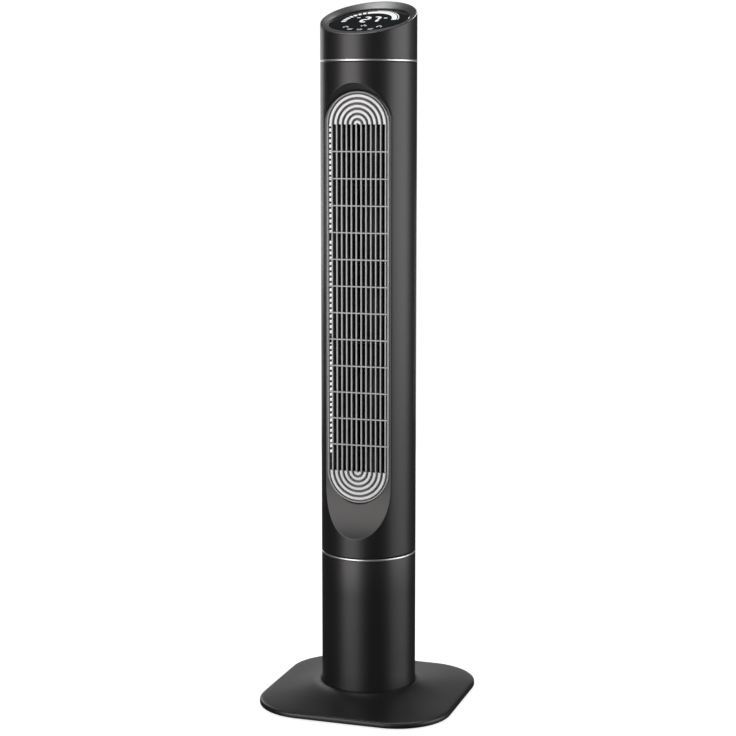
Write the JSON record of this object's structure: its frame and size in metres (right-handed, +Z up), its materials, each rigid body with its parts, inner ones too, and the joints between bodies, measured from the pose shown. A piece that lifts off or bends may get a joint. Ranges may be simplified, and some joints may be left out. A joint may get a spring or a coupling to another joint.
{
  "type": "tower fan",
  "caption": "Slim round tower fan with a recessed slatted grille, a slanted control head, silver trim rings and a weighted square base; the tower swings on its column.",
  "frame": {"origin": "on the floor, under the tower's axis at the middle of the base", "axes": "+Z up along the tower's axis, -Y towards the front grille, +X towards the right side seen from behind the grille"},
  "size_m": [0.332, 0.332, 1.1818],
  "materials": {
    "satin_black": "satin moulded",
    "gloss_black": "high gloss",
    "silver_trim": "satin chrome plate",
    "silver_grille": "silver paint",
    "blade_black": "moulded",
    "bare_steel": "zinc plated",
    "ballast_iron": "painted",
    "rubber": "matt",
    "bronze": "sintered",
    "copper_wire": "enamelled",
    "white_nylon": "moulded",
    "circuit_board": "lacquered"
  },
  "bodies": {
    "stand": {"base_plate": "satin_black", "base_cover": "satin_black", "ballast_ring": "ballast_iron", "rubber_feet": "rubber", "base_screws": "bare_steel", "column_shell": "satin_black", "column_screws": "bare_steel", "cord_gland": "rubber", "lower_trim_ring": "silver_trim", "turntable_plate": "white_nylon", "turntable_screws": "bare_steel", "pivot_bush": "white_nylon", "swing_motor": "bare_steel", "swing_motor_screws": "bare_steel"},
    "swing_drive": {"swing_motor_shaft": "bare_steel", "swing_pinion": "white_nylon"},
    "tower": {"swivel_hub": "bare_steel", "swivel_gear": "white_nylon", "hub_retaining_ring": "bare_steel", "hub_screws": "bare_steel", "tower_floor": "satin_black", "front_casing": "satin_black", "rear_casing": "satin_black", "casing_screws": "bare_steel", "front_grille": "silver_grille", "upper_grille_cap": "silver_grille", "lower_grille_cap": "silver_grille", "motor_plate": "satin_black", "duct_top_plate": "satin_black", "scroll_wall": "satin_black", "vortex_wall": "satin_black", "fan_motor_case": "bare_steel", "motor_stator": "bare_steel", "motor_windings": "copper_wire", "motor_bearings": "bronze", "motor_mounts": "rubber", "motor_screws": "bare_steel", "power_board": "circuit_board", "run_capacitor": "white_nylon", "wire_harness": "rubber", "top_bearing": "bronze", "bearing_holder": "rubber", "upper_trim_ring": "silver_trim", "head_chassis": "satin_black", "head_shell": "satin_black", "display_panel": "gloss_black", "display_board": "circuit_board", "control_board": "circuit_board", "board_screws": "bare_steel"},
    "impeller_set": {"fan_motor_shaft": "bare_steel", "motor_rotor": "bare_steel", "impeller_hub": "bronze", "impeller": "blade_black", "impeller_pin": "bare_steel", "hub_set_screw": "bare_steel"}
  },
  "joints": [
    {"name": "tower_swing", "type": "hinge", "parent": "stand", "child": "tower", "pos_m": [0, 0, 0.228], "axis": [0, 0, 1], "range_deg": [-40, 40]},
    {"name": "swing_pinion_spin", "type": "hinge", "parent": "stand", "child": "swing_drive", "pos_m": [0.048, 0, 0.219], "axis": [0, 0, 1], "range_deg": [-121, 121]},
    {"name": "impeller_spin", "type": "hinge", "parent": "tower", "child": "impeller_set", "pos_m": [0.006, 0.01, 0.35], "axis": [0, 0, 1], "continuous": true}
  ],
  "couplings": [
    {"joint": "swing_pinion_spin", "follows": "tower_swing", "ratio": -3}
  ]
}
